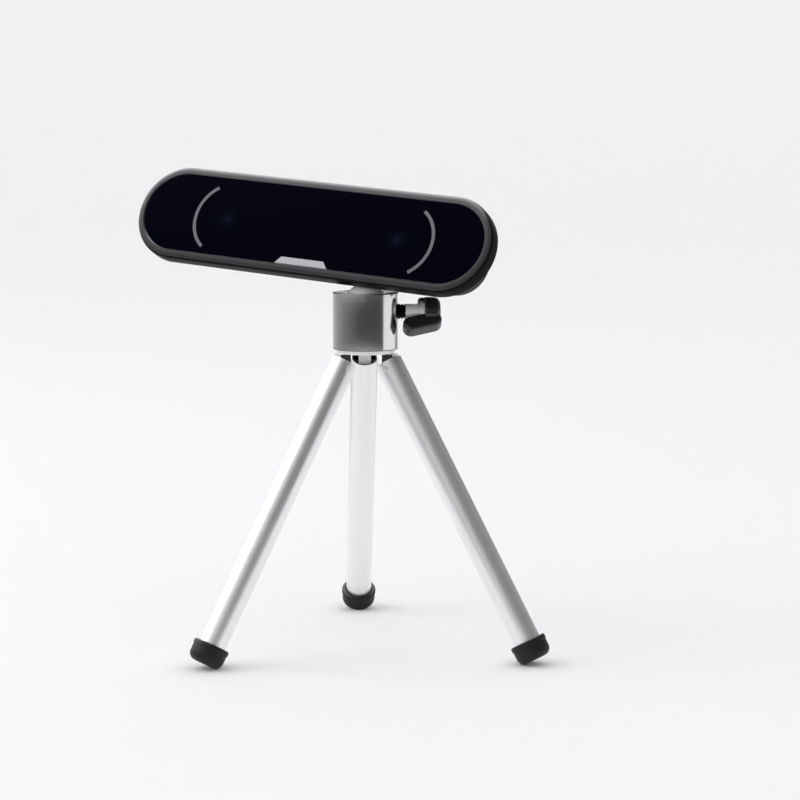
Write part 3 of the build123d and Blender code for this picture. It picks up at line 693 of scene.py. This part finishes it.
# BOARD
# A glass epoxy board on the same posts, with the processor, its gap pad and the lamp for the light tab.
# Small zinc-plated screws hold the bracket and the board.
tracks_per_metre = 220.0
mask_dark = (0.010, 0.055, 0.022)
mask_light = (0.014, 0.075, 0.030)
track_green = (0.030, 0.130, 0.050)
track_strength = 0.4
track_height = 0.03 * mm
board_mask, board_tree, board_shader, board_vector = start_finish("board_mask", webcam_place)
flat_on = board_tree.nodes.new("ShaderNodeMapping")
flat_on.inputs["Rotation"].default_value = (math.radians(90.0), 0.0, 0.0)
tracks = board_tree.nodes.new("ShaderNodeTexBrick")
feed(board_tree, tracks_per_metre, tracks.inputs["Scale"])
feed(board_tree, mask_dark, tracks.inputs["Color1"])
feed(board_tree, mask_light, tracks.inputs["Color2"])
feed(board_tree, track_green, tracks.inputs["Mortar"])
board_tree.links.new(board_vector, flat_on.inputs["Vector"])
board_tree.links.new(flat_on.outputs["Vector"], tracks.inputs["Vector"])
board_tree.links.new(tracks.outputs["Color"], board_shader.inputs["Base Color"])
board_gloss = spread(board_tree, tracks.outputs["Fac"], low=0.25, high=0.35)
board_tree.links.new(board_gloss, board_shader.inputs["Roughness"])
raise_surface(board_tree, board_shader, tracks.outputs["Fac"], track_strength, track_height)
chip_resin = grained_finish(
    "chip_resin", webcam_place, dark=(0.014, 0.014, 0.015), light=(0.024, 0.024, 0.026),
    smooth=0.50, rough=0.62, grains_per_metre=6000.0, grain_depth=0.01 * mm)
gap_pad = grained_finish(
    "gap_pad", webcam_place, dark=(0.34, 0.40, 0.50), light=(0.44, 0.50, 0.58),
    smooth=0.60, rough=0.75, grains_per_metre=2500.0, grain_depth=0.02 * mm)
lamp_resin = grained_finish(
    "lamp_resin", webcam_place, dark=(0.76, 0.80, 0.70), light=(0.86, 0.88, 0.80),
    smooth=0.15, rough=0.25, grains_per_metre=2500.0, grain_depth=0.004 * mm)
zinc_screw = metal_finish(
    "zinc_screw", webcam_place, dark=(0.48, 0.48, 0.50), light=(0.62, 0.62, 0.63),
    smooth=0.22, rough=0.34, lines_each_way=(1500.0, 1500.0, 1500.0), line_depth=0.008 * mm)
dress("main_board", board_mask)
dress("processor_chip", chip_resin)
dress("thermal_pad", gap_pad)
dress("status_led", lamp_resin)
dress("bracket_screws", zinc_screw)
dress("board_screws", zinc_screw)


# SOCKET
# A drawn steel shell round a plastic tongue, soldered to the board and open at the back.
# Gold-plated contacts lie on both sides of the tongue.
contact_count = 6
contact_spacing = 0.95 * mm
contact_width = 0.32 * mm
contact_length = 3.6 * mm
contact_height = 0.03 * mm
contact_middle = 5.8 * mm
tongue_half = 0.35 * mm
socket_centre = -20.0 * mm
socket_steel = metal_finish(
    "socket_steel", webcam_place, dark=(0.52, 0.52, 0.53), light=(0.66, 0.66, 0.67),
    smooth=0.18, rough=0.28, lines_each_way=(2000.0, 40.0, 2000.0), line_depth=0.006 * mm)
dress("usb_socket", socket_steel)
contact_gold = metal_finish(
    "contact_gold", webcam_place, dark=(0.70, 0.46, 0.12), light=(0.86, 0.60, 0.22),
    smooth=0.16, rough=0.26, lines_each_way=(2000.0, 60.0, 2000.0), line_depth=0.004 * mm)
contact_gold["slot"] = "brass_insert"
contacts = bmesh.new()
for side in (-1.0, 1.0):
    for place_in_row in range(contact_count):
        x = socket_centre + (place_in_row - (contact_count - 1) / 2.0) * contact_spacing
        middle = Matrix.Translation((x, contact_middle, side * (tongue_half + contact_height / 2.0)))
        size = Matrix.Diagonal((contact_width, contact_length, contact_height, 1.0))
        bmesh.ops.create_cube(contacts, size=1.0, matrix=middle @ size)
settle("socket_contacts", contacts, webcam_place, [contact_gold], "webcam")


# REAR COVER
# A machined aluminium cap with a rounded rim, blasted and anodised with the housing.
# Four black cap screws go through it into the long posts.
dress("rear_cover", black_anodised)
black_screw = metal_finish(
    "black_screw", webcam_place, dark=(0.018, 0.018, 0.019), light=(0.034, 0.034, 0.036),
    smooth=0.28, rough=0.40, lines_each_way=(1500.0, 1500.0, 1500.0), line_depth=0.008 * mm)
dress("rear_cover_screws", black_screw)


# FRONT WINDOW
# A pane of clear acrylic with an anti-reflection coat, printed black from behind, with a dark infrared ink
# over the lenses. Over each lens a faint bluish spot, brightest in the middle, is painted on the pane:
# partly the blue-coated lens seen through the ink, partly a painted glint. A foam gasket seals it.
lens_places = (-24.6 * mm, 26.6 * mm)
lens_raise = -0.5 * mm
glint_reach = 3.4 * mm
glint_core = 1.5 * mm
glint_blue = (0.0040, 0.0080, 0.0190, 1.0)
glint_fringe_blue = (0.0014, 0.0024, 0.0068, 1.0)
ink_black = (0.0007, 0.0010, 0.0040, 1.0)
wipe_patches = 60.0
window_gloss, pane_tree, pane_shader, pane_vector = start_finish("window_gloss", webcam_place)
from_lenses = []
for lens_x in lens_places:
    offset = reckon_vector(pane_tree, "SUBTRACT", pane_vector, (lens_x, 0.0, lens_raise))
    over_face = reckon_vector(pane_tree, "MULTIPLY", offset, (1.0, 0.0, 1.0))
    from_lenses.append(reckon_vector(pane_tree, "LENGTH", over_face, result="Value"))
from_nearest = reckon(pane_tree, "MINIMUM", *from_lenses)
# Painted glint: a bluish spot over each lens, brightest in the middle, fading to the ink's black.
glint_colours = pane_tree.nodes.new("ShaderNodeValToRGB")
glint_stops = glint_colours.color_ramp.elements
glint_stops[0].color = glint_blue
glint_stops[1].color = ink_black
glint_stops.new(glint_core / glint_reach).color = glint_fringe_blue
pane_tree.links.new(share(pane_tree, from_nearest, 0.0, glint_reach), glint_colours.inputs["Fac"])
pane_tree.links.new(glint_colours.outputs["Color"], pane_shader.inputs["Base Color"])
wiped = place_effect(pane_tree, handling, pane_vector, "Size", wipe_patches)["Smudge"]
pane_tree.links.new(spread(pane_tree, wiped, low=0.03, high=0.07), pane_shader.inputs["Roughness"])
tune(window_gloss, "Specular IOR Level", 0.01)
dress("front_window", window_gloss)
gasket_foam = grained_finish(
    "gasket_foam", webcam_place, dark=(0.010, 0.010, 0.010), light=(0.020, 0.020, 0.020),
    smooth=0.75, rough=0.90, grains_per_metre=5000.0, grain_depth=0.03 * mm)
dress("window_gasket", gasket_foam)


# LENS MARKS
# Two arcs of grey ink beside the lenses, one round each.
# They are let into the pane and lacquered level with it.
mark_ink = grained_finish(
    "mark_ink", webcam_place, dark=(0.062, 0.062, 0.074), light=(0.086, 0.086, 0.098),
    smooth=0.30, rough=0.42, grains_per_metre=6000.0, grain_depth=0.006 * mm)
dress("lens_arc_marks", mark_ink)


# LIGHT TAB
# A light guide of frosted acrylic in a notch at the pane's lower edge.
# Its stem runs back through the gasket to the lamp on the board.
tab_frost = grained_finish(
    "tab_frost", webcam_place, dark=(0.34, 0.34, 0.36), light=(0.41, 0.41, 0.43),
    smooth=0.42, rough=0.55, grains_per_metre=5000.0, grain_depth=0.01 * mm)
dress("status_light_tab", tab_frost)


# BEZEL
# A machined aluminium ring that holds the pane, rounded over to the front and plugged into the rim.
# Its face is anodised dark grey, and its flank takes the rim's darker black with the same painted sheen
# towards the top.
bezel_front = -9.0 * mm
bezel_seat = -7.4 * mm
bezel_inner = rim_radius - 2.3 * mm
plug_inner = rim_radius - 3.5 * mm
bezel_round = 1.5 * mm
bezel_edge = 0.12 * mm
cut_width = 0.30 * mm
flank_start = 0.62
bezel_anodised = grained_finish(
    "bezel_anodised", webcam_place, dark=(0.024, 0.024, 0.027), light=(0.034, 0.034, 0.038),
    smooth=0.26, rough=0.34, grains_per_metre=6000.0, grain_depth=0.01 * mm)
bezel_anodised["slot"] = "grey_anodised"
tune(bezel_anodised, "Specular IOR Level", 0.32)
bezel_profile = [(rim_radius, rim_front), (rim_radius, bezel_front), (bezel_inner + cut_width, bezel_front),
                 (bezel_inner, bezel_front + cut_width), (bezel_inner, bezel_seat),
                 (plug_inner, bezel_seat), (plug_inner, rim_front)]
ring = turn(bezel_profile, {0: bezel_edge, 1: bezel_round}, steps=96)
for face in ring.faces:
    middle = face.calc_center_median()
    outward = (face.normal.x * middle.x + face.normal.y * middle.y) / math.hypot(middle.x, middle.y)
    face.material_index = int(outward > flank_start)
ring = stretch(ring, rim_centre, rim_centre, 0.0)
even_shading(settle("bezel", ring, facing, [bezel_anodised, flank_shade_and_sheen], "webcam", "front_bezel"))


# CUT LINE
# The bezel's inner edge, cut again at a slant after the ring was anodised.
# The cut leaves a thin line of bare metal round the pane.
cut_depth = 0.05 * mm
cut_metal = metal_finish(
    "cut_metal", webcam_place, dark=(0.055, 0.055, 0.062), light=(0.085, 0.085, 0.094),
    smooth=0.24, rough=0.32, lines_each_way=(1500.0, 60.0, 1500.0), line_depth=0.004 * mm)
cut_metal["slot"] = "grey_anodised"
cut_profile = [(bezel_inner + cut_width, bezel_front - cut_depth / 2.0),
               (bezel_inner, bezel_front + cut_width),
               (bezel_inner + cut_depth, bezel_front + cut_width + cut_depth),
               (bezel_inner + cut_width + cut_depth, bezel_front)]
cut_ring = stretch(turn(cut_profile, {}, steps=96), rim_centre, rim_centre, 0.0)
even_shading(settle("bezel_cut_line", cut_ring, facing, [cut_metal], "webcam"))


# STUDIO
# A pale paper floor, one large soft lamp high on the left, and a light room that is darker in front.
# The camera stands in front with a long lens, a little above the webcam.
# The metal mirrors only the paper near the object, and beyond it the room.
floor_reach = 12.0
paper_white = (0.86, 0.86, 0.87)
mirrored_whole = 0.20
mirrored_end = 0.40
floor_shape = bmesh.new()
bmesh.ops.create_grid(floor_shape, x_segments=1, y_segments=1, size=floor_reach)
floor = make_object("floor", floor_shape)
floor_paper = bpy.data.materials.new("floor_paper")
floor_paper.use_nodes = True
paper = floor_paper.node_tree
paper_shader = paper.nodes["Principled BSDF"]
feed(paper, paper_white, paper_shader.inputs["Base Color"])
tune(floor_paper, "Roughness", 0.9)
tune(floor_paper, "Specular IOR Level", 0.1)
paper_place = paper.nodes.new("ShaderNodeTexCoord")
paper_away = reckon_vector(paper, "LENGTH", paper_place.outputs["Object"], result="Value")
paper_ray = paper.nodes.new("ShaderNodeLightPath")
paper_seen = paper.nodes.new("ShaderNodeMix")
feed(paper, paper_ray.outputs["Is Glossy Ray"], paper_seen.inputs["Factor"])
feed(paper, 1.0, paper_seen.inputs["A"])
feed(paper, share(paper, paper_away, mirrored_end, mirrored_whole), paper_seen.inputs["B"])
paper.links.new(paper_seen.outputs["Result"], paper_shader.inputs["Alpha"])
floor.data.materials.append(floor_paper)

lamp_place = Vector((-0.82, 0.0, 0.60))
lamp_aim = Vector((0.0, 0.0, 0.06))
lamp_width = 0.8
lamp_data = bpy.data.lights.new("soft_lamp", "AREA")
lamp_data.shape = "RECTANGLE"
lamp_data.size = lamp_width
lamp_data.size_y = lamp_width
lamp_data.energy = 2.5
lamp = bpy.data.objects.new("soft_lamp", lamp_data)
lamp.visible_glossy = False
lamp.location = lamp_place
lamp.rotation_euler = (lamp_aim - lamp_place).to_track_quat("-Z", "Y").to_euler()
bpy.context.scene.collection.objects.link(lamp)

room_light = (0.96, 0.96, 0.97)
backdrop_white = (0.880, 0.880, 0.896)
low_band_top = 0.14
overhead_white = (5.5, 5.5, 5.6)
overhead_way = (-0.3, 0.4, 1.0)
overhead_start = 0.75
overhead_full = 0.93
room = bpy.data.worlds.new("room")
bpy.context.scene.world = room
room.use_nodes = True
sky = room.node_tree
sky.nodes.clear()
toward = sky.nodes.new("ShaderNodeTexCoord").outputs["Generated"]
way = apart(sky, toward)
heading_round = reckon(sky, "ARCTAN2", way["X"], reckon(sky, "MULTIPLY", way["Y"], -1.0))
turn_share = share(sky, heading_round, -math.pi, math.pi)


def ring_of_tones(tones):
    """A ramp of grey tones round the room, by heading: -180 is the back, -90 the left and 0 the front."""
    band = sky.nodes.new("ShaderNodeValToRGB")
    stops = band.color_ramp.elements
    stops.remove(stops[-1])
    back_tone = tones[0][1]
    stops[0].color = (back_tone, back_tone, back_tone, 1.0)
    for degrees, tone in tones[1:]:
        stops.new((degrees + 180.0) / 360.0).color = (tone, tone, tone, 1.0)
    sky.links.new(turn_share, band.inputs["Fac"])
    return band.outputs["Color"]


low_tones = ring_of_tones([
    (-180.0, 0.95), (-160.0, 0.60), (-120.0, 0.34), (-80.0, 0.18), (-40.0, 0.095), (-20.0, 0.055),
    (40.0, 0.058), (60.0, 0.09), (65.0, 0.95), (118.0, 0.95), (128.0, 0.35), (142.0, 0.35), (150.0, 0.95)])
high_tones = ring_of_tones([
    (-180.0, 0.12), (-162.0, 0.30), (-146.0, 1.02), (-85.0, 1.00), (-60.0, 0.86), (-34.0, 0.64),
    (-13.0, 0.52), (5.0, 0.20), (40.0, 0.19), (80.0, 0.17), (107.0, 0.27), (144.0, 0.22), (165.0, 0.12)])
walls = between(sky, share(sky, way["Z"], 0.0, low_band_top), low_tones, high_tones)
up = reckon_vector(sky, "DOT_PRODUCT", toward, overhead_way, result="Value")
seen_in_gloss = between(sky, share(sky, up, overhead_start, overhead_full), walls, overhead_white)
ray = sky.nodes.new("ShaderNodeLightPath")
gloss_or_light = between(sky, ray.outputs["Is Glossy Ray"], room_light, seen_in_gloss)
backdrop = between(sky, ray.outputs["Is Camera Ray"], gloss_or_light, backdrop_white)
light = sky.nodes.new("ShaderNodeBackground")
sky.links.new(backdrop, light.inputs["Color"])
outlet = sky.nodes.new("ShaderNodeOutputWorld")
sky.links.new(light.outputs["Background"], outlet.inputs["Surface"])

viewer_place = (-0.0275, -0.6124, 0.14067)
viewer_pitch = 82.96
viewer_heading = -3.40
viewer_data = bpy.data.cameras.new("viewer")
viewer_data.sensor_width = 36.0
viewer_data.lens = 107.2
viewer = bpy.data.objects.new("viewer", viewer_data)
viewer.location = viewer_place
viewer.rotation_euler = (math.radians(viewer_pitch), 0.0, math.radians(viewer_heading))
bpy.context.scene.collection.objects.link(viewer)
bpy.context.scene.camera = viewer
bpy.context.scene.view_settings.view_transform = "Standard"

bpy.context.view_layer.update()
